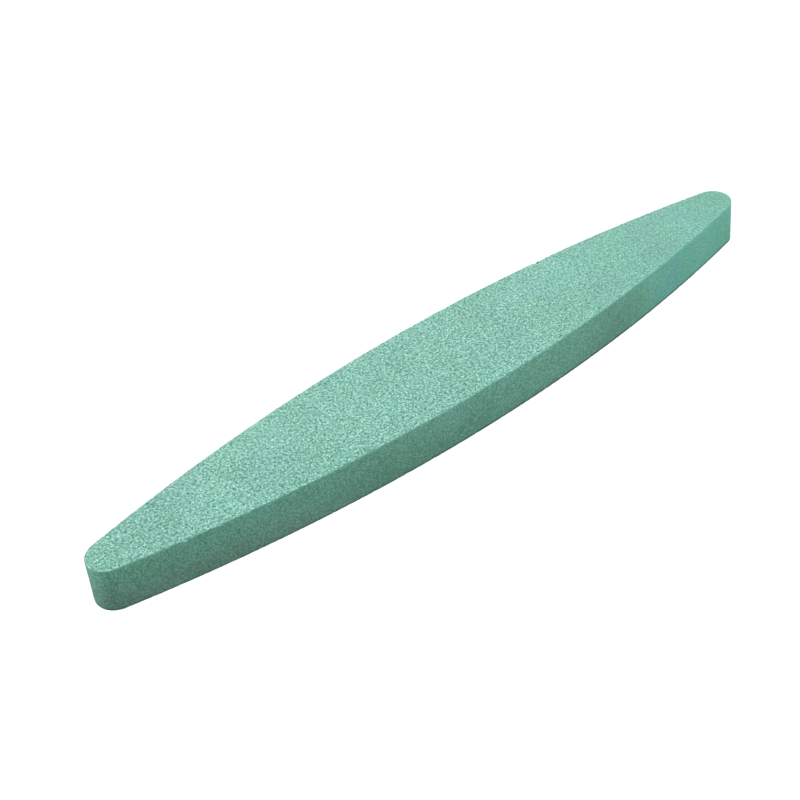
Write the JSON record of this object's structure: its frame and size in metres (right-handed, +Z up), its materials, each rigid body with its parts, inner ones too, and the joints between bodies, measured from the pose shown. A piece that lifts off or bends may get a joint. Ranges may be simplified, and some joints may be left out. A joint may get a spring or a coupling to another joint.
{
  "type": "sharpening whetstone",
  "caption": "Boat-shaped whetstone: a slim bar of fired abrasive grain with flat honing faces and rounded ends, for sharpening knives, scythes and carving tools by hand.",
  "frame": {"origin": "centre of the face that the stone rests on", "axes": "+X along the stone, +Y across it, +Z up through its thickness"},
  "size_m": [0.225, 0.0354, 0.0132],
  "materials": {
    "fired_abrasive": "matte"
  },
  "bodies": {
    "root": {"whetstone": "fired_abrasive"}
  },
  "joints": []
}
